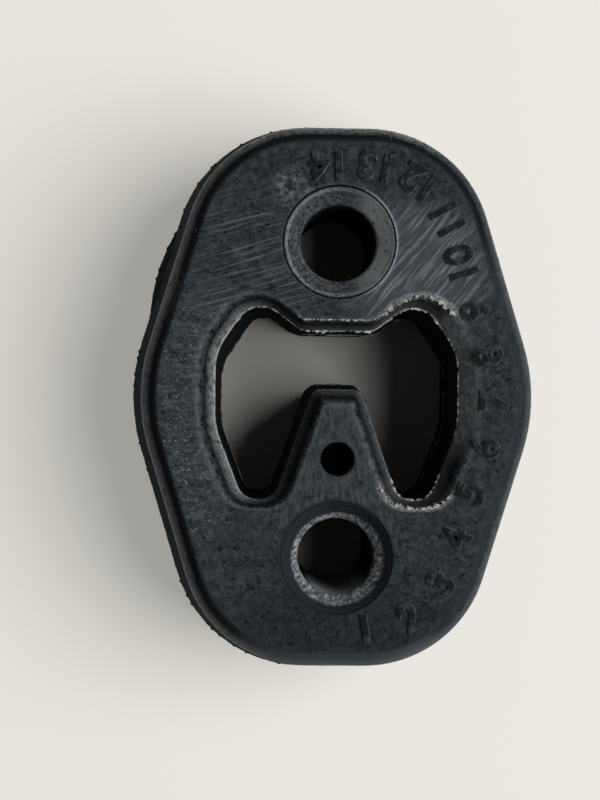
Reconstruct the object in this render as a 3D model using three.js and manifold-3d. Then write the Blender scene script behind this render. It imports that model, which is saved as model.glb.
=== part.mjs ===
// Exhaust hanger rubber: one moulded rubber body with a bore for a hanger rod near each end, a window
// between the bores, and a tongue that stands up into the window from the boss of the lower bore.
// Millimetres, +Z up. The part lies on its back face, its length runs along Y, and the origin is on
// the surface below its middle. Both faces are alike, because the mould parts at mid thickness.

import * as THREE from 'three';
import { mergeVertices } from 'three/addons/utils/BufferGeometryUtils.js';
import Module from 'manifold-3d';

// Body. Its outline at the rim is a long hexagon with two blunt side corners and round end corners.
const THICKNESS = 30;
const RIM_HALF_WIDTH = 28.3;
const RIM_HALF_LENGTH = 38.9;
const FLANK_ANGLE = THREE.MathUtils.degToRad(17);
const SIDE_CORNER_RADIUS = 26;
const END_CORNER_RADIUS = 18;

// Bevel round both faces, and the lean of the walls from the bevel out to the parting plane.
const BEVEL_DEPTH = 3;
const RIM_BEVEL_WIDTH = 2.2;
const OUTER_WALL_LEAN = 2;
const WINDOW_WALL_LEAN = 0.7;
const SHOULDER_WALL_LEAN = 1.5;
const ROOF_WALL_LEAN = 0.1;

// Rod bores, on the long axis, each with a shallow conical countersink in both faces.
const BORE_DIAMETER = 11;
const COUNTERSINK_WIDTH = 2.5;
const COUNTERSINK_DEPTH = 2.5;
const UPPER_BORE_TO_END = 16.7;
const LOWER_BORE_TO_END = 15.9;

// Window. Its sides follow the body's flat rails, its roof hangs below the upper bore, and a lobe
// rises beside the roof on each hand. Heights count from the roof or from the foot of the window.
const RAIL_WIDTH = 6.1;
const BORE_TO_ROOF = 12.65;
const ROOF_HALF_WIDTH = 5.2;
const LOBE_HALF_SPREAD = 12;
const LOBE_RISE = 5.15;
const SIDE_TOP_BELOW_ROOF = 3.25;
const SIDE_BOTTOM_ABOVE_FOOT = 10.6;
const BORE_TO_FOOT = 8.1;
const FOOT_OUTER_INSET = 4.1;
const ROOF_CORNER_RADIUS = 2.5;
const LOBE_RADIUS = 4;
const SIDE_TOP_RADIUS = 8;
const SIDE_BOTTOM_RADIUS = 12;
const FOOT_RADIUS = 2.9;

// Width of the bevel along each stretch of the window's edge.
const ROOF_BEVEL_WIDTH = 1.5;
const LOBE_BEVEL_WIDTH = 1.3;
const SIDE_BEVEL_WIDTH = 2.4;
const FOOT_BEVEL_WIDTH = 1.1;
const TONGUE_BEVEL_WIDTH = 2;

// Tongue. It stops short of the roof by the travel that the rubber allows, and has a small hole.
const TONGUE_TRAVEL = 8.45;
const TONGUE_TIP_HALF_WIDTH = 3.45;
const TONGUE_ROOT_HALF_WIDTH = 9;
const TONGUE_TIP_RADIUS = 1.6;
const TONGUE_HOLE_DIAMETER = 4.8;
const BORE_TO_TONGUE_HOLE = 14.1;

// Fineness of the curves, and what the cutters stand proud of the faces.
const ARC_STEP = THREE.MathUtils.degToRad(6);
const BORE_FACETS = 60;
const TONGUE_HOLE_FACETS = 36;
const SHARPEST_RADIUS = 0.3;
const CUTTER_OVERRUN = 1;

const PARTING_Z = THICKNESS / 2;
const BORE_RADIUS = BORE_DIAMETER / 2;
const UPPER_BORE_Y = RIM_HALF_LENGTH - UPPER_BORE_TO_END;
const LOWER_BORE_Y = LOWER_BORE_TO_END - RIM_HALF_LENGTH;
const ROOF_Y = UPPER_BORE_Y - BORE_TO_ROOF;
const FOOT_Y = LOWER_BORE_Y + BORE_TO_FOOT;
const TONGUE_TIP_Y = ROOF_Y - TONGUE_TRAVEL;
const TONGUE_HOLE_Y = LOWER_BORE_Y + BORE_TO_TONGUE_HOLE;
const WINDOW_HALF_WIDTH = RIM_HALF_WIDTH - RIM_BEVEL_WIDTH - RAIL_WIDTH - SIDE_BEVEL_WIDTH;

const wasm = await Module();
wasm.setup();

// A corner of an outline: its sharp place and its rounding, then the width of the bevel along the edge
// that follows it, and how far that edge's wall leans out of upright, from the bevel to the parting plane.
function corner(x, y, radius, bevel, lean) {
  return { place: new THREE.Vector2(x, y), radius, bevel, lean };
}

// Completes an outline from the corners of its right half, listed upwards, so it runs anticlockwise.
// The closing edge joins the first corner to its own mirror image.
function mirrorOutline(rightCorners, closingEdge) {
  const leftCorners = rightCorners.map(({ place, radius }, index) => {
    const { bevel, lean } = index === 0 ? closingEdge : rightCorners[index - 1];
    return corner(-place.x, place.y, radius, bevel, lean);
  });
  return [...rightCorners, ...leftCorners.reverse()];
}

// The direction of the edge into a corner and of the edge out of it, and the angle turned there.
function edgesAt(corners, index) {
  const here = corners[index].place;
  const before = corners.at(index - 1).place;
  const after = corners[(index + 1) % corners.length].place;
  const into = here.clone().sub(before).normalize();
  const out = after.clone().sub(here).normalize();
  const turn = Math.atan2(into.cross(out), into.dot(out));
  return { into, out, turn };
}

// How far from a corner its arc begins and ends, along the edges.
function setbackAt(corners, index) {
  return corners[index].radius * Math.tan(Math.abs(edgesAt(corners, index).turn) / 2);
}

// The radius of the arc at a corner. Where an edge is too short for the arcs at both of its ends, each
// of the two is reduced by the same share.
function arcRadiusAt(corners, index) {
  const before = (index + corners.length - 1) % corners.length;
  const after = (index + 1) % corners.length;
  const shares = [before, after].map((other) => {
    const edge = corners[index].place.distanceTo(corners[other].place);
    return edge / (setbackAt(corners, index) + setbackAt(corners, other));
  });
  return corners[index].radius * Math.min(1, ...shares);
}

// Moves each edge outwards by its own distance, and rounds the new corners to suit.
function spreadOutline(corners, distanceOf) {
  return corners.map((current, index) => {
    const { into, out, turn } = edgesAt(corners, index);
    const first = distanceOf(corners.at(index - 1));
    const second = distanceOf(current);
    const side = into.cross(out);
    const x = (second * into.x - first * out.x) / side;
    const y = (second * into.y - first * out.y) / side;
    const radius = current.radius + Math.sign(turn) * (first + second) / 2;
    const place = current.place.clone().add(new THREE.Vector2(x, y));
    return { ...current, place, radius: Math.max(radius, SHARPEST_RADIUS) };
  });
}

// The points of an outline, with each corner drawn as an arc that touches both of its edges.
function outlinePoints(corners) {
  return corners.flatMap(({ place }, index) => {
    const { into, turn } = edgesAt(corners, index);
    const radius = arcRadiusAt(corners, index);
    const steps = Math.max(2, Math.ceil(Math.abs(turn) / ARC_STEP));
    const start = place.clone().addScaledVector(into, -radius * Math.tan(Math.abs(turn) / 2));
    const inward = new THREE.Vector2(-into.y, into.x).multiplyScalar(Math.sign(turn));
    const centre = start.clone().addScaledVector(inward, radius);
    return Array.from({ length: steps + 1 }, (_, step) =>
      start.clone().rotateAround(centre, turn * step / steps));
  });
}

// A closed solid through a stack of outlines that all have the same corners, from the lowest up.
function loft(levels) {
  const rings = levels.map(({ corners }) => outlinePoints(corners));
  const count = rings[0].length;
  const positions = rings.flatMap((ring, level) => ring.flatMap(({ x, y }) => [x, y, levels[level].z]));
  const faces = [];
  for (let level = 0; level < rings.length - 1; level += 1) {
    for (let point = 0; point < count; point += 1) {
      const next = (point + 1) % count;
      const low = level * count;
      const high = low + count;
      faces.push(low + point, low + next, high + next);
      faces.push(low + point, high + next, high + point);
    }
  }
  const topStart = (rings.length - 1) * count;
  for (const [a, b, c] of THREE.ShapeUtils.triangulateShape(rings[0], [])) {
    faces.push(c, b, a);
  }
  for (const [a, b, c] of THREE.ShapeUtils.triangulateShape(rings.at(-1), [])) {
    faces.push(topStart + a, topStart + b, topStart + c);
  }
  const geometry = new THREE.BufferGeometry();
  geometry.setAttribute('position', new THREE.Float32BufferAttribute(positions, 3));
  geometry.setIndex(faces);
  return geometry;
}

// Turns a three.js geometry into a solid that can be cut, leaving out the flat slivers on an axis.
function toSolid(geometry) {
  const bare = geometry.clone();
  bare.deleteAttribute('normal');
  bare.deleteAttribute('uv');
  const merged = mergeVertices(bare);
  const index = merged.getIndex().array;
  const kept = [];
  for (let i = 0; i < index.length; i += 3) {
    const [a, b, c] = [index[i], index[i + 1], index[i + 2]];
    if (a !== b && b !== c && c !== a) kept.push(a, b, c);
  }
  return new wasm.Manifold(new wasm.Mesh({
    numProp: 3,
    vertProperties: new Float32Array(merged.getAttribute('position').array),
    triVerts: new Uint32Array(kept),
  }));
}

function toGeometry(solid) {
  const { vertProperties, triVerts } = solid.getMesh();
  const geometry = new THREE.BufferGeometry();
  geometry.setAttribute('position', new THREE.BufferAttribute(vertProperties, 3));
  geometry.setIndex(new THREE.BufferAttribute(triVerts, 1));
  geometry.computeVertexNormals();
  return geometry;
}

// The body's rim outline. Rounding pulls a side corner in, so its sharp place lies further out.
function rimCorners() {
  const sharpHalfWidth = RIM_HALF_WIDTH + SIDE_CORNER_RADIUS * (1 / Math.cos(FLANK_ANGLE) - 1);
  const endHalfWidth = sharpHalfWidth - RIM_HALF_LENGTH * Math.tan(FLANK_ANGLE);
  const edge = { bevel: RIM_BEVEL_WIDTH, lean: OUTER_WALL_LEAN };
  return mirrorOutline([
    corner(endHalfWidth, -RIM_HALF_LENGTH, END_CORNER_RADIUS, edge.bevel, edge.lean),
    corner(sharpHalfWidth, 0, SIDE_CORNER_RADIUS, edge.bevel, edge.lean),
    corner(endHalfWidth, RIM_HALF_LENGTH, END_CORNER_RADIUS, edge.bevel, edge.lean),
  ], edge);
}

// The window's lip outline, round the tongue from its tip.
function windowCorners() {
  const footOuterX = WINDOW_HALF_WIDTH - FOOT_OUTER_INSET;
  const sideTopY = ROOF_Y - SIDE_TOP_BELOW_ROOF;
  const sideBottomY = FOOT_Y + SIDE_BOTTOM_ABOVE_FOOT;
  const wall = WINDOW_WALL_LEAN;
  const tongueEdge = { bevel: TONGUE_BEVEL_WIDTH, lean: wall };
  return mirrorOutline([
    corner(TONGUE_TIP_HALF_WIDTH, TONGUE_TIP_Y, TONGUE_TIP_RADIUS, TONGUE_BEVEL_WIDTH, wall),
    corner(TONGUE_ROOT_HALF_WIDTH, FOOT_Y, FOOT_RADIUS, FOOT_BEVEL_WIDTH, wall),
    corner(footOuterX, FOOT_Y, FOOT_RADIUS, SIDE_BEVEL_WIDTH, wall),
    corner(WINDOW_HALF_WIDTH, sideBottomY, SIDE_BOTTOM_RADIUS, SIDE_BEVEL_WIDTH, wall),
    corner(WINDOW_HALF_WIDTH, sideTopY, SIDE_TOP_RADIUS, SIDE_BEVEL_WIDTH, SHOULDER_WALL_LEAN),
    corner(LOBE_HALF_SPREAD, ROOF_Y + LOBE_RISE, LOBE_RADIUS, LOBE_BEVEL_WIDTH, wall),
    corner(ROOF_HALF_WIDTH, ROOF_Y, ROOF_CORNER_RADIUS, ROOF_BEVEL_WIDTH, ROOF_WALL_LEAN),
  ], tongueEdge);
}

// Body without its openings: face, bevel, rim, parting plane, and the same again to the other face.
function bodyBlank() {
  const rim = rimCorners();
  const face = spreadOutline(rim, ({ bevel }) => -bevel);
  const parting = spreadOutline(rim, ({ lean }) => lean);
  return toSolid(loft([
    { z: 0, corners: face },
    { z: BEVEL_DEPTH, corners: rim },
    { z: PARTING_Z, corners: parting },
    { z: THICKNESS - BEVEL_DEPTH, corners: rim },
    { z: THICKNESS, corners: face },
  ]));
}

// Space of the window: widest at the faces, narrowest at the parting plane.
function windowCutter() {
  const lip = windowCorners();
  const overrunShare = 1 + CUTTER_OVERRUN / BEVEL_DEPTH;
  const beyondFace = spreadOutline(lip, ({ bevel }) => bevel * overrunShare);
  const parting = spreadOutline(lip, ({ lean }) => -lean);
  return toSolid(loft([
    { z: -CUTTER_OVERRUN, corners: beyondFace },
    { z: BEVEL_DEPTH, corners: lip },
    { z: PARTING_Z, corners: parting },
    { z: THICKNESS - BEVEL_DEPTH, corners: lip },
    { z: THICKNESS + CUTTER_OVERRUN, corners: beyondFace },
  ]));
}

// A turned cutter standing on the long axis, from half of its profile: radius and height.
function turnedCutter(profile, facets, y) {
  const points = profile.map(([radius, z]) => new THREE.Vector2(radius, z));
  const geometry = new THREE.LatheGeometry(points, facets);
  geometry.rotateX(Math.PI / 2);
  geometry.translate(0, y, 0);
  return toSolid(geometry);
}

function boreCutter(y) {
  const slope = COUNTERSINK_WIDTH / COUNTERSINK_DEPTH;
  const mouthRadius = BORE_RADIUS + COUNTERSINK_WIDTH + CUTTER_OVERRUN * slope;
  return turnedCutter([
    [0, -CUTTER_OVERRUN],
    [mouthRadius, -CUTTER_OVERRUN],
    [BORE_RADIUS, COUNTERSINK_DEPTH],
    [BORE_RADIUS, THICKNESS - COUNTERSINK_DEPTH],
    [mouthRadius, THICKNESS + CUTTER_OVERRUN],
    [0, THICKNESS + CUTTER_OVERRUN],
  ], BORE_FACETS, y);
}

function tongueHoleCutter() {
  const radius = TONGUE_HOLE_DIAMETER / 2;
  return turnedCutter([
    [0, -CUTTER_OVERRUN],
    [radius, -CUTTER_OVERRUN],
    [radius, THICKNESS + CUTTER_OVERRUN],
    [0, THICKNESS + CUTTER_OVERRUN],
  ], TONGUE_HOLE_FACETS, TONGUE_HOLE_Y);
}

const rubber = new THREE.MeshStandardMaterial({ color: 0x2c2f33, roughness: 0.72, metalness: 0 });

const moulding = bodyBlank()
  .subtract(windowCutter())
  .subtract(boreCutter(UPPER_BORE_Y))
  .subtract(boreCutter(LOWER_BORE_Y))
  .subtract(tongueHoleCutter());

const body = new THREE.Mesh(toGeometry(moulding), rubber);
body.name = 'hanger_rubber';

const hanger = new THREE.Group();
hanger.add(body);

export default hanger;
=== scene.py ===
import math
import random
from collections import namedtuple

import bmesh
import bpy
from mathutils import Matrix, Vector, noise
from mathutils.bvhtree import BVHTree


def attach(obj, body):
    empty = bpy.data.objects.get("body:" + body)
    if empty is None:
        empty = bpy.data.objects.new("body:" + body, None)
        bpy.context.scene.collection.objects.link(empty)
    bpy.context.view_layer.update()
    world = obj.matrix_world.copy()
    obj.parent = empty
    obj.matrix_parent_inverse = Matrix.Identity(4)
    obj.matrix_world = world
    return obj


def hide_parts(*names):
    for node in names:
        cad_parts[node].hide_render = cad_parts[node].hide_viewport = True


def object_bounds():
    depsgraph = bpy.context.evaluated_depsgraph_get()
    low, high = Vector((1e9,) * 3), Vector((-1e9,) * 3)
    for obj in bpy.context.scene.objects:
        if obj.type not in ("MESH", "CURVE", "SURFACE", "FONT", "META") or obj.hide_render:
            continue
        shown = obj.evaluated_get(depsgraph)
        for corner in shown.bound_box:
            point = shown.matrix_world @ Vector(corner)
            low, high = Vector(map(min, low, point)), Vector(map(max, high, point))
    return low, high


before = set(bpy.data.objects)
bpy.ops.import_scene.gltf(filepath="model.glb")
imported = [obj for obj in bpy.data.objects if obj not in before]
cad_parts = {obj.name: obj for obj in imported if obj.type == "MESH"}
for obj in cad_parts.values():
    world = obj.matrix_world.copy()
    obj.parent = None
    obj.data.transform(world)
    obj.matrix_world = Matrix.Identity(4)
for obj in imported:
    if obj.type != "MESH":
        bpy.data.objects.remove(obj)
cad_low, cad_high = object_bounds()

# The finished look of an exhaust hanger rubber. Lengths are millimetres, and heights count from the
# mould's parting plane, halfway through the thickness. Each piece becomes metres when it is finished.
MM = 0.001
FACE_Z = (cad_high.z - cad_low.z) / MM / 2
BEVEL_DEPTH = 3
LIP_Z = FACE_Z - BEVEL_DEPTH

# Body outline at the rim.
RIM_HALF_WIDTH = 28.3
RIM_HALF_LENGTH = 38.9
FLANK_ANGLE = math.radians(17)
SIDE_CORNER_RADIUS = 26
END_CORNER_RADIUS = 18
RIM_BEVEL_WIDTH = 2.2
FLASH_ROOM = 0.25
OUTER_WALL_LEAN = 2 - FLASH_ROOM
WINDOW_WALL_LEAN = 0.7
SHOULDER_WALL_LEAN = 1.5
ROOF_WALL_LEAN = 0.1

# Bores and the small hole in the tongue.
UPPER_BORE_Y = 22.2
LOWER_BORE_Y = -23
BORE_RADIUS = 5.5
COUNTERSINK_WIDTH = 2.5
COUNTERSINK_DEPTH = 2.5
TONGUE_HOLE_Y = -8.9
TONGUE_HOLE_RADIUS = 2.4

# Fineness.
ARC_STEP = math.radians(4)
BEND_STEPS = 5
BORE_STEPS = 96
SHARPEST_RADIUS = 0.3

# Bevel and lean are those of the edge that follows the corner.
Corner = namedtuple("Corner", "place radius bevel lean")


def corner(x, y, radius, bevel, lean):
    return Corner(Vector((x, y)), radius, bevel, lean)


def mirrored(right):
    """Completes an outline from its right half, listed upwards, and closes it like its first edge."""
    left = []
    for index, (place, radius, _, _) in enumerate(right):
        edge = right[max(index - 1, 0)]
        left.append(corner(-place.x, place.y, radius, edge.bevel, edge.lean))
    return right + left[::-1]


def rim_corners():
    half_width = RIM_HALF_WIDTH + SIDE_CORNER_RADIUS * (1 / math.cos(FLANK_ANGLE) - 1)
    end_half_width = half_width - RIM_HALF_LENGTH * math.tan(FLANK_ANGLE)
    edge = RIM_BEVEL_WIDTH, OUTER_WALL_LEAN
    return mirrored([
        corner(end_half_width, -RIM_HALF_LENGTH, END_CORNER_RADIUS, *edge),
        corner(half_width, 0, SIDE_CORNER_RADIUS, *edge),
        corner(end_half_width, RIM_HALF_LENGTH, END_CORNER_RADIUS, *edge),
    ])


def window_corners():
    """The window's lip from the tongue's tip round to the roof, with the bevel and lean there."""
    wall = WINDOW_WALL_LEAN
    return mirrored([
        corner(3.45, 1.1, 1.6, 2, wall),
        corner(9, -14.9, 2.9, 1.1, wall),
        corner(13.5, -14.9, 2.9, 2.4, wall),
        corner(17.6, -4.3, 12, 2.4, wall),
        corner(17.6, 6.3, 8, 2.4, SHOULDER_WALL_LEAN),
        corner(12, 14.7, 4, 1.3, wall),
        corner(5.2, 9.55, 2.5, 1.5, ROOF_WALL_LEAN),
    ])


def edges_at(corners, index):
    """Direction of the edge into a corner and of the edge out of it, and the angle turned there."""
    here = corners[index].place
    into = (here - corners[index - 1].place).normalized()
    out = (corners[(index + 1) % len(corners)].place - here).normalized()
    return into, out, math.atan2(into.cross(out), into.dot(out))


def spread(corners, distance_of):
    """Moves each edge outwards by its own distance, and rounds the new corners to suit."""
    moved = []
    for index, (place, radius, bevel, lean) in enumerate(corners):
        into, out, turn = edges_at(corners, index)
        first = distance_of(corners[index - 1])
        second = distance_of(corners[index])
        shift = (into * second - out * first) / into.cross(out)
        grown = radius + math.copysign(first + second, turn * (first + second)) / 2
        moved.append(Corner(place + shift, max(grown, SHARPEST_RADIUS), bevel, lean))
    return moved


def outline_points(corners):
    """The outline's points, each corner an arc that touches both of its edges."""
    points = []
    for index, (place, radius, _, _) in enumerate(corners):
        into, _, turn = edges_at(corners, index)
        steps = max(3, math.ceil(abs(turn) / ARC_STEP))
        start = place - into * radius * math.tan(abs(turn) / 2)
        centre = start + Vector((-into.y, into.x)) * math.copysign(radius, turn)
        arm = start - centre
        points += [centre + Matrix.Rotation(turn * step / steps, 2) @ arm for step in range(steps + 1)]
    return points


def evenly(points, spacing):
    """Points at an even spacing along a closed line."""
    placed = []
    ahead = 0.0
    for start, end in zip(points, points[1:] + points[:1]):
        length = (end - start).length
        while ahead < length:
            placed.append(start.lerp(end, ahead / length))
            ahead += spacing
        ahead -= length
    return placed


def outward_at(points, index):
    """The direction away from the inside of a closed anticlockwise line at one of its points."""
    along = (points[(index + 1) % len(points)] - points[index - 1]).normalized()
    return Vector((along.y, -along.x))


def rounded(stations, bends):
    """A profile with each inner station rounded, over a share of the stretch before and after it."""
    line = [stations[0]]
    for before, here, after, (back, ahead) in zip(stations, stations[1:], stations[2:], bends):
        start, end = here.lerp(before, back), here.lerp(after, ahead)
        line.append(here.lerp(before, 2 * back))
        for step in range(BEND_STEPS + 1):
            t = step / BEND_STEPS
            line.append(start.lerp(here, t).lerp(here.lerp(end, t), t))
    return line + [stations[-1]]


def start_ring(bm, places):
    ring = [bm.verts.new(place) for place in places]
    for a, b in zip(ring, ring[1:] + ring[:1]):
        bm.edges.new((a, b))
    return ring


def raise_ring(bm, ring, places):
    """Extrudes a closed ring and lays each new vertex on its place."""
    edges = [bm.edges.get((a, b)) for a, b in zip(ring, ring[1:] + ring[:1])]
    made = bmesh.ops.extrude_edge_only(bm, edges=edges)["geom"]
    fresh = {item for item in made if isinstance(item, bmesh.types.BMVert)}
    raised = []
    for vert, place in zip(ring, places):
        top = next(e.other_vert(vert) for e in vert.link_edges if e.other_vert(vert) in fresh)
        top.co = place
        raised.append(top)
    return raised


def finish_piece(name, bm, material):
    """Makes a shaded object in metres, which rides with the body."""
    bmesh.ops.translate(bm, vec=(0, 0, FACE_Z), verts=bm.verts)
    bmesh.ops.scale(bm, vec=(MM, MM, MM), verts=bm.verts)
    bmesh.ops.recalc_face_normals(bm, faces=bm.faces)
    mesh = bpy.data.meshes.new(name)
    bm.to_mesh(mesh)
    bm.free()
    mesh.shade_smooth()
    mesh.set_sharp_from_angle(angle=math.radians(38))
    mesh.materials.append(material)
    piece = bpy.data.objects.new(name, mesh)
    bpy.context.scene.collection.objects.link(piece)
    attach(piece, "root")
    return piece


# Wear that follows an edge is painted on the mesh: 1 on the edge, fading over this reach.
LIP_REACH = 0.5
CREST_REACH = 0.45


def loft_wall(bm, corners, side):
    """Wall, bevel and edge of the face along an outline. Side is 1 where the rubber lies outside it."""
    stations = rounded([
        Vector((1, 0, 0)),
        Vector((0, 0, LIP_Z)),
        Vector((0, 1, FACE_Z)),
        Vector((0, 1.5, FACE_Z)),
    ], [(0.025, 0.1), (0.2, 0.4)])
    lip = bm.verts.layers.float["lip"]
    crest = bm.verts.layers.float["crest"]
    window = bm.verts.layers.float["window"]
    ring = None
    for number, (leaning, share, z) in enumerate(stations):
        outline = spread(corners, lambda edge: side * (share * edge.bevel - leaning * edge.lean))
        places = [point.to_3d() + Vector((0, 0, z)) for point in outline_points(outline)]
        ring = raise_ring(bm, ring, places) if ring else start_ring(bm, places)
        on_face = number == len(stations) - 1
        for vert in ring:
            vert[lip] = max(0, 1 - abs(z - LIP_Z) / LIP_REACH)
            vert[crest] = 0 if on_face else max(0, 1 - abs(share - 1) / CREST_REACH)
            vert[window] = 1 if side > 0 and not on_face else 0


def spin_hole(bm, y, stations, worn):
    """Wall and mouth of a round hole, spun from half of its profile: radius and height."""
    layer = bm.verts.layers.float["bore"]
    profile = [bm.verts.new((radius, y, z)) for radius, z in stations]
    for vert in profile[:-1]:
        vert[layer] = worn
    edges = [bm.edges.new(pair) for pair in zip(profile, profile[1:])]
    bmesh.ops.spin(
        bm, geom=profile + edges, cent=(0, y, 0), axis=(0, 0, 1), angle=math.tau,
        steps=BORE_STEPS, use_merge=True)


def bore_profile():
    mouth = BORE_RADIUS + COUNTERSINK_WIDTH
    return rounded([
        Vector((BORE_RADIUS, 0)),
        Vector((BORE_RADIUS, FACE_Z - COUNTERSINK_DEPTH)),
        Vector((mouth - 0.1, FACE_Z - 0.28)),
        Vector((mouth, FACE_Z - 0.42)),
        Vector((mouth + 0.12, FACE_Z)),
        Vector((mouth + 0.6, FACE_Z)),
    ], [(0.03, 0.16), (0.03, 0.3), (0.3, 0.3), (0.2, 0.2)])


def hole_profile():
    return rounded([
        Vector((TONGUE_HOLE_RADIUS, 0)),
        Vector((TONGUE_HOLE_RADIUS, FACE_Z)),
        Vector((TONGUE_HOLE_RADIUS + 0.6, FACE_Z)),
    ], [(0.02, 0.5)])


def fill_face(bm):
    """Fills the face between its outline and the holes."""
    border = [
        edge for edge in bm.edges
        if len(edge.link_faces) == 1 and min(vert.co.z for vert in edge.verts) > FACE_Z - 0.01]
    bmesh.ops.triangle_fill(bm, edges=border, use_beauty=True, normal=(0, 0, 1))


def make_moulding(material):
    bm = bmesh.new()
    for name in ("lip", "crest", "window", "bore"):
        bm.verts.layers.float.new(name)
    loft_wall(bm, rim_corners(), -1)
    loft_wall(bm, window_corners(), 1)
    spin_hole(bm, UPPER_BORE_Y, bore_profile(), 1)
    spin_hole(bm, LOWER_BORE_Y, bore_profile(), 1)
    spin_hole(bm, TONGUE_HOLE_Y, hole_profile(), 0)
    fill_face(bm)
    bmesh.ops.mirror(bm, geom=bm.verts[:] + bm.edges[:] + bm.faces[:], axis="Z", merge_dist=0.001)
    bmesh.ops.remove_doubles(bm, verts=bm.verts, dist=0.0005)
    piece = finish_piece("moulded_body", bm, material)
    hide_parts("hanger_rubber")
    return piece


def add_fin(bm, points, height_at, direction_at, root, thickness):
    """A thin closed fin round a line. Height_at says how far it stands out at each point."""
    inner, outer = [], []
    for index, point in enumerate(points):
        direction = direction_at(index)
        inner.append(point - direction * root)
        outer.append(point + direction * height_at(index))
    up = Vector((0, 0, thickness / 2))
    ring = first = start_ring(bm, [p - up for p in inner])
    for line, lift in ((outer, -up * 0.4), (outer, up * 0.4), (inner, up), (inner, -up)):
        ring = raise_ring(bm, ring, [p + lift for p in line])
    bmesh.ops.remove_doubles(bm, verts=first + ring, dist=0.0001)


def uneven(place, middle, *waves):
    """A value that wanders along a line, by noise of several heights and finenesses."""
    return middle + sum(height * noise.noise(place * fineness) for height, fineness in waves)


FLASH_SPACING = 0.35
# The outer flash swells along the left flank, round this height of it.
SWELLING_Y = 18.5
SWELLING_REACH = 6.5
SWELLING_HEIGHT = 0.8


def parting_line(corners, side):
    outline = spread(corners, lambda edge: -side * edge.lean)
    return [point.to_3d() for point in evenly(outline_points(outline), FLASH_SPACING)]


def make_parting_flash(material):
    """Ragged flash where the mould halves met, with longer nibs and a swelling on the left."""
    bm = bmesh.new()
    points = parting_line(rim_corners(), -1)
    flat = [p.to_2d() for p in points]

    def height(index):
        place = points[index]
        ragged = uneven(place, 0.06, (0.07, 0.9), (0.05, 2.7))
        nib = max(0, noise.noise(place * 1.7 + Vector((9, 4, 2))) - 0.28) * 0.9
        swelling = max(0, 1 - ((place.y - SWELLING_Y) / SWELLING_REACH) ** 2) if place.x < 0 else 0
        return max(0.01, min(FLASH_ROOM, ragged + nib) + SWELLING_HEIGHT * swelling)

    add_fin(bm, points, height, lambda i: outward_at(flat, i).to_3d(), 0.3, 0.16)
    return finish_piece("outer_parting_flash", bm, material)


def make_window_flash(material):
    bm = bmesh.new()
    points = parting_line(window_corners(), 1)
    flat = [p.to_2d() for p in points]

    def height(index):
        return max(0.02, uneven(points[index], 0.14, (0.22, 0.8), (0.12, 2.3)))

    add_fin(bm, points, height, lambda i: -outward_at(flat, i).to_3d(), 0.3, 0.14)
    return finish_piece("window_parting_flash", bm, material)


TEAR_SPACING = 0.2
# Stretches where flash was torn off the window's lip, and off the upper edge of its bevel: middle,
# reach and width of the shreds.
LIP_TEARS = [
    (Vector((11, 13)), Vector((6.4, 4.6)), 0.3),
    (Vector((0, 9.8)), Vector((6.5, 2.4)), 0.3),
    (Vector((11.2, -14.2)), Vector((5.4, 4)), 0.3),
    (Vector((-11, 13)), Vector((6, 4)), 0.2),
    (Vector((17.6, 3)), Vector((3, 9)), 0.15),
]
CREST_TEARS = [
    (Vector((11, 13.6)), Vector((6.8, 3.6)), 0.7),
    (Vector((10.7, -15.2)), Vector((5.8, 4)), 0.62),
    (Vector((-0.5, 11)), Vector((6.5, 1.4)), 0.22),
]


def tear_width(place, tears):
    width = 0.0
    for middle, reach, most in tears:
        away = Vector(((place.x - middle.x) / reach.x, (place.y - middle.y) / reach.y)).length
        width = max(width, most * min(1, max(0, (1.1 - away) * 3)))
    return width * max(0, uneven(place, 0.45, (0.9, 1.3), (1.1, 3.7)))


def make_torn_edges(material):
    """Pale shreds along the lip of the window and along the upper edge of its bevel."""
    bm = bmesh.new()
    lip = window_corners()
    crest = spread(lip, lambda edge: edge.bevel)
    for corners, z, tears in ((lip, LIP_Z, LIP_TEARS), (crest, FACE_Z, CREST_TEARS)):
        line = evenly(outline_points(corners), TEAR_SPACING)
        widths = [tear_width(point.to_3d(), tears) for point in line]
        # Where nothing was torn the fin sinks into the rubber.
        lifts = [z - 0.3 + 0.36 * min(1, width * 12) for width in widths]
        points = [point.to_3d() + Vector((0, 0, lift)) for point, lift in zip(line, lifts)]

        def direction(index):
            lean = 0.1 + 0.4 * noise.noise(points[index] * 1.9 + Vector((3, 8, 1)))
            return (-outward_at(line, index).to_3d() + Vector((0, 0, lean))).normalized()

        add_fin(bm, points, lambda index: widths[index], direction, 0.1, 0.2)
    return finish_piece("torn_edges", bm, material)


# Raised plain numbers, in a row along the right flank.
NUMBER_INSET = 5.6
NUMBER_SPACING = 6.8
NUMBER_COUNT = 14
NUMBER_SIZE = 5.6
NUMBER_STROKE_SPREAD = 0.06
NUMBER_DEPTH = 0.5
NUMBER_EDGE_RADIUS = 0.16
NUMBER_SINK = 0.02


def number_mesh(text):
    curve = bpy.data.curves.new("number", "FONT")
    curve.body = text
    curve.size = NUMBER_SIZE
    curve.align_x = "CENTER"
    curve.align_y = "CENTER"
    curve.resolution_u = 4
    curve.offset = NUMBER_STROKE_SPREAD
    curve.extrude = NUMBER_DEPTH / 2
    curve.bevel_depth = NUMBER_EDGE_RADIUS
    curve.bevel_resolution = 1
    carrier = bpy.data.objects.new("number", curve)
    bpy.context.scene.collection.objects.link(carrier)
    bpy.context.view_layer.update()
    finished = carrier.evaluated_get(bpy.context.evaluated_depsgraph_get())
    mesh = bpy.data.meshes.new_from_object(finished)
    bpy.data.objects.remove(carrier)
    bpy.data.curves.remove(curve)
    return mesh


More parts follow.
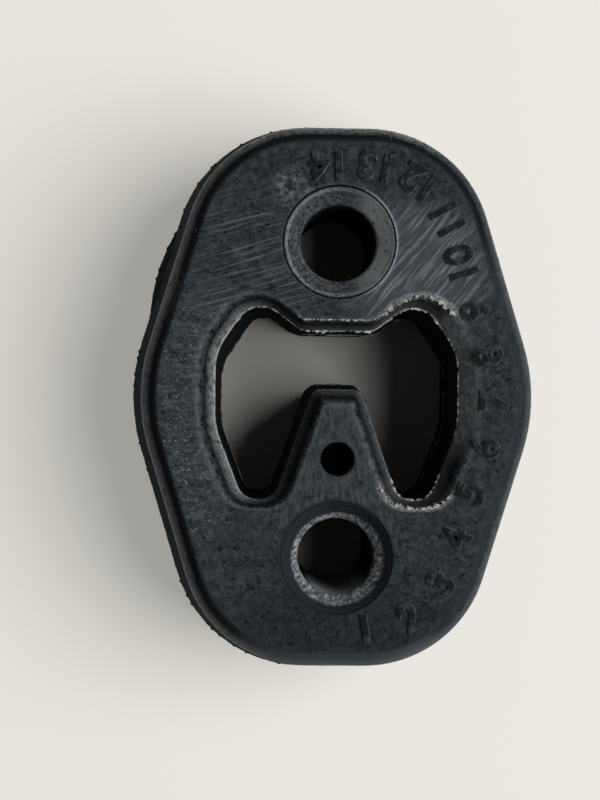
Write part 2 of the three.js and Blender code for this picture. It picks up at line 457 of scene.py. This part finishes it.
def make_numbers(material):
    bm = bmesh.new()
    inset = spread(rim_corners(), lambda edge: -NUMBER_INSET)
    line = evenly(outline_points(inset), NUMBER_SPACING)
    for index in range(NUMBER_COUNT):
        outward = outward_at(line, index)
        turn = Matrix.Rotation(math.atan2(outward.x, -outward.y), 4, "Z")
        place = Matrix.Translation(line[index].to_3d() + Vector((0, 0, FACE_Z - NUMBER_SINK)))
        mesh = number_mesh(str(index + 1))
        mesh.transform(place @ turn)
        bm.from_mesh(mesh)
        bpy.data.meshes.remove(mesh)
    bmesh.ops.remove_doubles(bm, verts=bm.verts, dist=0.002)
    return finish_piece("raised_numbers", bm, material)


GRAIN_COUNT = 420
SMALLEST_GRAIN = 0.03
GRAIN_SIZE_RANGE = 0.065


def make_dust_grains(body, material):
    """Dust grains lying on the upper surfaces, thickest on the left rail."""
    draw = random.Random(7)
    tree = BVHTree.FromPolygons(
        [vert.co / MM for vert in body.data.vertices],
        [polygon.vertices for polygon in body.data.polygons])
    bm = bmesh.new()
    placed = 0
    while placed < GRAIN_COUNT:
        x, y = draw.uniform(-29, 29), draw.uniform(-39, 39)
        size = SMALLEST_GRAIN + GRAIN_SIZE_RANGE * draw.random() ** 4
        chance = draw.random()
        left = 1 if x < -15 and abs(y) < 24 else 0.22
        if chance > left * (0.6 + 0.8 * noise.noise(Vector((x, y, 0)) * 0.2)):
            continue
        hit, normal, _, _ = tree.ray_cast(Vector((x, y, 60)), Vector((0, 0, -1)))
        if hit is None or hit.z < 2 * FACE_Z - BEVEL_DEPTH:
            continue
        squeeze = Matrix.Diagonal((1, draw.uniform(0.6, 1.4), 0.7, 1))
        place = Matrix.Translation(hit - Vector((0, 0, FACE_Z)) + normal * size * 0.2)
        turn = Matrix.Rotation(draw.uniform(0, math.tau), 4, "Z")
        bmesh.ops.create_icosphere(
            bm, subdivisions=1, radius=size, matrix=place @ turn @ squeeze)
        placed += 1
    return finish_piece("dust_grains", bm, material)


def linear(hex_colour):
    """An sRGB hex value as linear red, green, blue and alpha."""
    channels = [int(hex_colour[i:i + 2], 16) / 255 for i in (1, 3, 5)]
    return (*[c / 12.92 if c <= 0.04045 else ((c + 0.055) / 1.055) ** 2.4 for c in channels], 1)


def add(tree, kind, feeds, output=0, **settings):
    """Adds a node, feeds its inputs from sockets or values, and returns one of its outputs."""
    node = tree.nodes.new(kind)
    for name, value in settings.items():
        setattr(node, name, value)
    for key, value in feeds.items():
        if isinstance(value, bpy.types.NodeSocket):
            tree.links.new(value, node.inputs[key])
        else:
            node.inputs[key].default_value = value
    return node.outputs[output]


def new_material(name, colour, roughness, specular, ior):
    """A material with its shader, and the place in millimetres that its patterns start from."""
    material = bpy.data.materials.new(name)
    material.use_nodes = True
    tree = material.node_tree
    shader = tree.nodes["Principled BSDF"]
    shader.inputs["Base Color"].default_value = linear(colour)
    shader.inputs["Roughness"].default_value = roughness
    shader.inputs["Specular IOR Level"].default_value = specular
    shader.inputs["IOR"].default_value = ior
    metres = add(tree, "ShaderNodeTexCoord", {}, "Object")
    place = add(tree, "ShaderNodeVectorMath", {0: metres, "Scale": 1 / MM}, operation="SCALE")
    return material, tree, shader, place


# In a Map Range, input 0 is the value, 1 and 2 are the range it comes from, and 3 and 4 the new one.
def area_mask(tree, place, centre, reach, turn=0.0, solid=0.45):
    """1 in the solid share of an oval area of the face, fading to 0 at its edge."""
    local = add(tree, "ShaderNodeMapping", {
        "Vector": place, "Location": (*centre, 0), "Rotation": (0, 0, turn), "Scale": (*reach, 1e6),
    }, vector_type="TEXTURE")
    away = add(tree, "ShaderNodeVectorMath", {0: local}, "Value", operation="LENGTH")
    return add(tree, "ShaderNodeMapRange", {
        0: away, 1: 1.0, 2: solid, 3: 0.0, 4: 1.0}, interpolation_type="SMOOTHSTEP")


def blotches(
        tree, place, size, low, high, detail=4.0, roughness=0.6, stretch=(1, 1, 1), turn=0.0):
    """Cloudy mask whose blots are about size across, drawn out by stretch along the turned axes."""
    local = add(tree, "ShaderNodeMapping", {
        "Vector": place, "Rotation": (0, 0, turn), "Scale": stretch}, vector_type="TEXTURE")
    cloud = add(tree, "ShaderNodeTexNoise", {
        "Vector": local, "Scale": 1 / size, "Detail": detail, "Roughness": roughness})
    return add(tree, "ShaderNodeMapRange", {0: cloud, 1: low, 2: high}, interpolation_type="SMOOTHSTEP")


def layered(tree, base, layers):
    """Colours over a base. A layer is a colour, how much of it shows, and masks of where it lies."""
    colour = linear(base)
    for tint, amount, *masks in layers:
        for mask in masks:
            amount = add(tree, "ShaderNodeMath", {0: amount, 1: mask}, operation="MULTIPLY")
        colour = add(
            tree, "ShaderNodeMix", {0: amount, 6: colour, 7: linear(tint)}, 2, data_type="RGBA")
    return colour


RUBBER_IOR = 1.52
FACE_ROUGHNESS = 0.8
POLISHED_ROUGHNESS = 0.72


# Moulded carbon-black rubber that has lain about: matt and dusty on its faces, smoother on the bevels
# and walls that the mould polished, near-black there partly as painted shade, scuffed pale along every
# edge that touches something. Sizes of blots are millimetres. Real mould grain, about 0.05 mm, and fine
# dust are too fine for the render to show, so grain, specks and dusting are drawn coarser, at 0.4 to
# 0.5 mm.
def make_rubber():
    material, tree, shader, place = new_material(
        "moulded_carbon_black_rubber", "#2f353a", 0.7, 0.012, RUBBER_IOR)

    # Parts of the moulding, by height and by the wear painted on its mesh.
    depth = add(tree, "ShaderNodeSeparateXYZ", {0: place}, "Z")
    from_parting = add(tree, "ShaderNodeMath", {0: depth, 1: FACE_Z}, operation="SUBTRACT")
    height = add(tree, "ShaderNodeMath", {0: from_parting}, operation="ABSOLUTE")
    face = add(tree, "ShaderNodeMapRange", {0: height, 1: FACE_Z - 0.35, 2: FACE_Z - 0.03})
    above_lip = add(tree, "ShaderNodeMapRange", {0: height, 1: LIP_Z - 0.5, 2: LIP_Z + 0.1})
    lip, crest, window, bore = (
        add(tree, "ShaderNodeAttribute", {}, "Fac", attribute_name=name)
        for name in ("lip", "crest", "window", "bore"))
    not_face, below_lip, not_window, not_bore = (
        add(tree, "ShaderNodeMath", {0: 1.0, 1: mask}, operation="SUBTRACT")
        for mask in (face, above_lip, window, bore))
    bevel = not_face, above_lip, not_bore
    wall = not_face, below_lip, not_bore
    ring = bore, above_lip

    # Patterns.
    grain = blotches(tree, place, 0.45, 0.35, 0.75, detail=5.0, roughness=0.7)
    cloud = blotches(tree, place, 9.0, 0.3, 0.7)
    mottle = blotches(tree, place, 1.1, 0.42, 0.66, detail=6.0, roughness=0.75)
    ragged = blotches(tree, place, 0.8, 0.36, 0.56, detail=5.0, roughness=0.75)
    worn = add(tree, "ShaderNodeMapRange", {0: ragged, 3: 0.5, 4: 1.0})
    wrinkle = blotches(tree, place, 0.5, 0.4, 0.64, stretch=(1, 4.5, 1), turn=0.12)
    streak = blotches(tree, place, 0.55, 0.46, 0.66, stretch=(3.5, 1, 1), turn=-0.05)
    speck = blotches(tree, place, 0.42, 0.64, 0.7, detail=2.0)
    dusting = blotches(
        tree, place, 0.5, 0.52, 0.7, detail=5.0, roughness=0.85, stretch=(1.8, 1, 1))
    drag = blotches(tree, place, 0.5, 0.4, 0.7, detail=4.0, stretch=(1, 1, 5))
    pits = blotches(tree, place, 0.8, 0.56, 0.68, detail=4.0)
    shreds = blotches(tree, place, 0.6, 0.4, 0.58, detail=6.0, roughness=0.8)
    flecks = blotches(tree, place, 0.5, 0.44, 0.6, detail=6.0, roughness=0.75)
    sweep = blotches(tree, place, 0.4, 0.5, 0.7, detail=3.0, stretch=(26, 1, 1), turn=0.28)
    rub = blotches(tree, place, 0.45, 0.46, 0.68, detail=3.0, stretch=(12, 1, 1), turn=0.89)

    # Areas, seen from the front: middle and reach.
    left_rail = area_mask(tree, place, (-21.5, -4), (8.5, 26))
    left_flank = area_mask(tree, place, (-26.5, 18), (5, 9), turn=0.28)
    upper_patch = area_mask(tree, place, (-6.8, 29.3), (3.6, 4.4))
    upper_left = area_mask(tree, place, (-12, 20), (16, 12))
    upper_right = area_mask(tree, place, (11, 18), (13, 13))
    right_window_painted_light = area_mask(tree, place, (17.5, 3), (5.5, 13))
    tongue = area_mask(tree, place, (0, -13), (15, 18))
    below_bore_painted_shade = area_mask(tree, place, (0, -33), (22, 9))
    lower_right = area_mask(tree, place, (24, -26), (44, 52), solid=0.8)
    bottom_edge = area_mask(tree, place, (2, -41), (30, 9), solid=0.7)
    top_edge = area_mask(tree, place, (-1, 40), (26, 9))
    upper_bore = area_mask(tree, place, (0, UPPER_BORE_Y), (18, 18))
    upper_ring_painted_light = area_mask(tree, place, (9, UPPER_BORE_Y), (9, 14))
    lower_bore = area_mask(tree, place, (0, LOWER_BORE_Y), (14, 14))
    painted_lit_crescent = area_mask(tree, place, (0.6, -28.6), (6.5, 3.2))
    torn_lobe = area_mask(tree, place, (11.5, 13.5), (9, 5.5))
    torn_foot = area_mask(tree, place, (10.8, -15.5), (8, 5.5))
    torn = add(tree, "ShaderNodeMath", {0: torn_lobe, 1: torn_foot}, operation="MAXIMUM")
    across = add(tree, "ShaderNodeSeparateXYZ", {0: place}, "X")
    left_side = add(tree, "ShaderNodeMapRange", {0: across, 1: -8.0, 2: -20.0})

    # Rings round the bores, by their distance from the middle.
    from_upper, from_lower = (
        add(tree, "ShaderNodeMapping", {"Vector": place, "Location": shift, "Scale": (1, 1, 0)})
        for shift in ((0, -UPPER_BORE_Y, 0), (-0.25, 0.3 - LOWER_BORE_Y, 0)))
    upper_away, lower_away = (
        add(tree, "ShaderNodeVectorMath", {0: arm}, "Value", operation="LENGTH")
        for arm in (from_upper, from_lower))
    ring_edge = add(tree, "ShaderNodeMath", {0: upper_away, 1: 7.6, 2: 0.22}, operation="COMPARE")
    ring_groove_painted_shade = add(tree, "ShaderNodeMath", {0: upper_away, 1: 8.08, 2: 0.13}, operation="COMPARE")
    abraded = add(tree, "ShaderNodeMapRange", {
        0: lower_away, 1: 6.9, 2: 6.3}, interpolation_type="SMOOTHSTEP")

    tree.links.new(layered(tree, "#22272b", [
        ("#30353a", 0.7, face, cloud),
        ("#454c51", 0.7, face, grain),
        ("#5c6468", 0.4, face, mottle),
        ("#0b0e10", 0.75, face, pits),
        ("#42494d", 0.35, face, left_rail, mottle),
        ("#676e72", 0.35, face, left_rail, streak),
        ("#989d9f", 0.6, face, left_rail, dusting),
        ("#636a6e", 0.4, face, tongue, wrinkle),
        # Painted shade below the lower bore, and painted light as a lighter tone on the upper right of
        # the face.
        ("#111417", 0.35, face, below_bore_painted_shade),
        ("#535b60", 0.6, face, upper_right),
        ("#747b7f", 0.65, face, upper_left, sweep),
        ("#8b9397", 0.65, face, upper_right, rub),
        ("#8b8d8b", 0.7, face, upper_patch, mottle),
        # Bevels painted near-black and walls dark: partly painted shade. The bevels are lighter on the
        # lower right and along the bottom.
        ("#0a0e12", 0.98, *bevel),
        ("#14171a", 0.98, *wall),
        ("#22272a", 0.6, *wall, not_window, drag),
        ("#262b2f", 0.5, *wall, not_window, cloud),
        ("#4d5255", 0.4, *wall, not_window, dusting),
        ("#2a3035", 0.8, *bevel, not_window, lower_right),
        ("#4f565b", 0.3, *bevel, not_window, lower_right, mottle),
        ("#4b5358", 0.85, *bevel, not_window, bottom_edge),
        ("#565d61", 0.5, *bevel, not_window, left_flank, ragged),
        # Painted light: the window's right bevel, which faces away from the lamp, is painted pale.
        ("#7b8388", 0.9, *bevel, window, right_window_painted_light),
        ("#bfc4c6", 0.7, *bevel, window, right_window_painted_light, mottle),
        ("#2e3338", 0.9, *ring),
        ("#4f5559", 0.85, *ring, upper_bore, mottle),
        # Painted light on the upper ring's right side, where its cone faces away from the lamp.
        ("#b6bbbd", 0.85, *ring, upper_bore, upper_ring_painted_light),
        ("#9da3a6", 0.25, *ring, upper_bore, flecks),
        ("#23272a", 0.8, *ring, upper_bore, pits),
        ("#8d9396", 0.7, *ring, ring_edge, ragged),
        # Painted shade: a dark line in the groove round the upper ring.
        ("#06080a", 0.85, above_lip, ring_groove_painted_shade),
        ("#646b70", 0.8, *ring, lower_bore, abraded),
        ("#d3d8d9", 0.7, *ring, lower_bore, abraded, flecks),
        ("#23282c", 0.6, *ring, lower_bore, abraded, mottle),
        # Painted light: a pale crescent low on the lower bore's wall, where light would fall.
        ("#c9cdcd", 0.9, bore, below_lip, painted_lit_crescent, worn),
        ("#1c1f21", 0.85, *ring, lower_bore, pits),
        ("#3c4347", 0.4, crest, not_window, worn),
        ("#747b7f", 0.5, crest, window, ragged),
        ("#bcbcb6", 0.9, crest, window, torn, shreds),
        ("#848b8d", 0.95, lip, not_window, worn),
        ("#d0d5d6", 0.85, lip, not_window, worn, left_side),
        ("#c6cccd", 0.85, lip, not_window, ragged, top_edge),
        ("#858b8e", 0.95, lip, window, worn),
        ("#d2d6d6", 0.95, lip, window, ragged, left_side),
        ("#a2a6a8", 0.6, face, left_rail, speck),
    ]), shader.inputs["Base Color"])

    polish = add(tree, "ShaderNodeMath", {0: not_face, 1: not_bore}, operation="MULTIPLY")
    roughness = add(tree, "ShaderNodeMapRange", {0: polish, 3: FACE_ROUGHNESS, 4: POLISHED_ROUGHNESS})
    scuffed = add(tree, "ShaderNodeMath", {0: roughness, 1: lip}, operation="MAXIMUM")
    tree.links.new(scuffed, shader.inputs["Roughness"])

    relief = add(tree, "ShaderNodeMath", {0: wrinkle, 1: tongue}, operation="MULTIPLY")
    for pattern in (grain, mottle):
        relief = add(tree, "ShaderNodeMath", {0: relief, 1: pattern}, operation="ADD")
    normal = add(tree, "ShaderNodeBump", {
        "Height": relief, "Strength": 0.55, "Distance": 0.05 * MM})
    tree.links.new(normal, shader.inputs["Normal"])
    return material


# Raised figures of the same rubber: their tops handled dark, their shoulders scuffed grey.
def make_number_rubber():
    material, tree, shader, place = new_material(
        "handled_number_rubber", "#15181b", 0.7, 0.05, RUBBER_IOR)
    normal = add(tree, "ShaderNodeTexCoord", {}, "Normal")
    upward = add(tree, "ShaderNodeSeparateXYZ", {0: normal}, "Z")
    shoulder = add(tree, "ShaderNodeMapRange", {0: upward, 1: 0.97, 2: 0.6})
    scuff = blotches(tree, place, 0.7, 0.3, 0.6, detail=5.0)
    rub = blotches(tree, place, 1.6, 0.45, 0.65, detail=4.0)
    tree.links.new(layered(tree, "#1c2024", [
        ("#3c4347", 1.0, rub),
        ("#8c9295", 1.0, shoulder, scuff),
    ]), shader.inputs["Base Color"])
    relief = add(tree, "ShaderNodeBump", {"Height": scuff, "Strength": 0.4, "Distance": 0.04 * MM})
    tree.links.new(relief, shader.inputs["Normal"])
    return material


# Flash of the same rubber, too thin to hold its black: dull grey with paler torn places.
def make_flash_rubber(name, colour, torn):
    material, tree, shader, place = new_material(name, colour, 0.8, 0.3, RUBBER_IOR)
    shreds = blotches(tree, place, 0.7, 0.42, 0.62, detail=5.0, roughness=0.7)
    tree.links.new(layered(tree, colour, [(torn, 1.0, shreds)]), shader.inputs["Base Color"])
    relief = add(tree, "ShaderNodeBump", {"Height": shreds, "Strength": 0.5, "Distance": 0.05 * MM})
    tree.links.new(relief, shader.inputs["Normal"])
    return material


# Road dust: dry mineral grains, grey and fully matt.
def make_dust():
    material, tree, shader, place = new_material("mineral_dust", "#a8a59c", 0.95, 0.2, 1.52)
    shade = blotches(tree, place, 1.5, 0.35, 0.65)
    tree.links.new(layered(tree, "#4f5356", [("#8f9394", 1.0, shade)]), shader.inputs["Base Color"])
    return material


def seen_background(tree):
    """1 for rays that show the background, and 0 for those that carry its light to the object."""
    camera, glossy, transmission = (
        add(tree, "ShaderNodeLightPath", {}, f"Is {kind} Ray")
        for kind in ("Camera", "Glossy", "Transmission"))
    pale = add(tree, "ShaderNodeMath", {0: camera, 1: glossy}, operation="MAXIMUM")
    return add(tree, "ShaderNodeMath", {0: pale, 1: transmission}, operation="MAXIMUM")


BACKGROUND = "#e6e3dd"
STUDIO_GREY = (0.05, 0.05, 0.05, 1)
FLOOR_GLOW = 0.42
FLOOR_GAP = 0.1
FLOOR_FADE_REACH = 420
# The floor's own reach is metres, and so are the places of the camera and the lamp.
FLOOR_REACH = 3.0


def make_floor():
    """Matt pale floor, just clear of the part's back. Far off it has the background's own colour."""
    bm = bmesh.new()
    bmesh.ops.create_grid(bm, x_segments=1, y_segments=1, size=FLOOR_REACH)
    bmesh.ops.translate(bm, vec=(0, 0, -FLOOR_GAP * MM), verts=bm.verts)
    mesh = bpy.data.meshes.new("floor")
    bm.to_mesh(mesh)
    bm.free()
    material, tree, shader, place = new_material("pale_floor", "#dedbd4", 0.95, 0.05, 1.5)
    shader.inputs["Emission Color"].default_value = linear("#e6e3dc")
    seen = seen_background(tree)
    # The floor does not glow under the part, so that seen through the window and bores it stays dark:
    # painted shade.
    painted_shade_under_part = area_mask(tree, place, (0, 0), (30.5, 41), solid=0.85)
    open_floor = add(tree, "ShaderNodeMapRange", {0: painted_shade_under_part, 3: FLOOR_GLOW, 4: 0.0})
    glow = add(tree, "ShaderNodeMath", {0: open_floor, 1: seen}, operation="MULTIPLY")
    tree.links.new(glow, shader.inputs["Emission Strength"])
    near = area_mask(tree, place, (0, 0), (FLOOR_FADE_REACH, FLOOR_FADE_REACH), solid=0.25)
    far = add(tree, "ShaderNodeMath", {0: 1.0, 1: near}, operation="SUBTRACT")
    faded = add(tree, "ShaderNodeMath", {0: far, 1: seen}, operation="MULTIPLY")
    distance = add(tree, "ShaderNodeEmission", {"Color": linear(BACKGROUND)})
    blend = add(tree, "ShaderNodeMixShader", {0: faded, 1: shader.outputs[0], 2: distance})
    tree.links.new(blend, tree.nodes["Material Output"].inputs["Surface"])
    mesh.materials.append(material)
    floor = bpy.data.objects.new("floor", mesh)
    bpy.context.scene.collection.objects.link(floor)


# Camera as the photograph was taken: straight down, a little left of the part.
CAMERA_PLACE = Vector((-0.0138, 0, 0.280))
CAMERA_TARGET = Vector((-0.00544, -0.00057, 0.030))
CAMERA_ROLL = math.radians(0.6)
CAMERA_LENS = 78.75


def make_camera():
    data = bpy.data.cameras.new("camera")
    data.lens = CAMERA_LENS
    data.sensor_width = 36
    data.clip_start = 0.01
    camera = bpy.data.objects.new("camera", data)
    bpy.context.scene.collection.objects.link(camera)
    camera.location = CAMERA_PLACE
    aim = CAMERA_TARGET - CAMERA_PLACE
    camera.rotation_euler = (math.atan2(aim.y, -aim.z), -math.atan2(aim.x, -aim.z), CAMERA_ROLL)
    bpy.context.scene.camera = camera


# One large soft lamp, to the right of the part, aimed at it.
KEY_PLACE = Vector((1.02, 0, 1.23))
KEY_SIZE = 1.5
KEY_POWER = 24.5


def make_key_lamp():
    data = bpy.data.lights.new("key", "AREA")
    data.shape = "DISK"
    data.size = KEY_SIZE
    data.energy = KEY_POWER
    lamp = bpy.data.objects.new("key", data)
    lamp.location = KEY_PLACE
    lamp.rotation_euler = (-KEY_PLACE).to_track_quat("-Z", "Y").to_euler()
    lamp.visible_camera = False
    bpy.context.scene.collection.objects.link(lamp)


def make_world():
    """Dim studio walls to light the part, which the camera and reflections see as pale."""
    world = bpy.data.worlds.new("studio")
    world.use_nodes = True
    tree = world.node_tree
    background = tree.nodes["Background"]
    tree.links.new(add(tree, "ShaderNodeMix", {
        0: seen_background(tree), 6: STUDIO_GREY, 7: linear(BACKGROUND)}, 2, data_type="RGBA"),
        background.inputs["Color"])
    background.inputs["Strength"].default_value = 1.0
    bpy.context.scene.world = world


make_camera()
make_world()
make_floor()
make_key_lamp()
bpy.context.scene.view_settings.view_transform = "Standard"

moulding = make_moulding(make_rubber())
make_parting_flash(make_flash_rubber("black_flash", "#101214", "#3a3d3f"))
make_window_flash(make_flash_rubber("window_flash", "#1a1c1e", "#8f8d86"))
make_torn_edges(make_flash_rubber("torn_flash", "#66696a", "#d0d1cd"))
make_numbers(make_number_rubber())
make_dust_grains(moulding, make_dust())
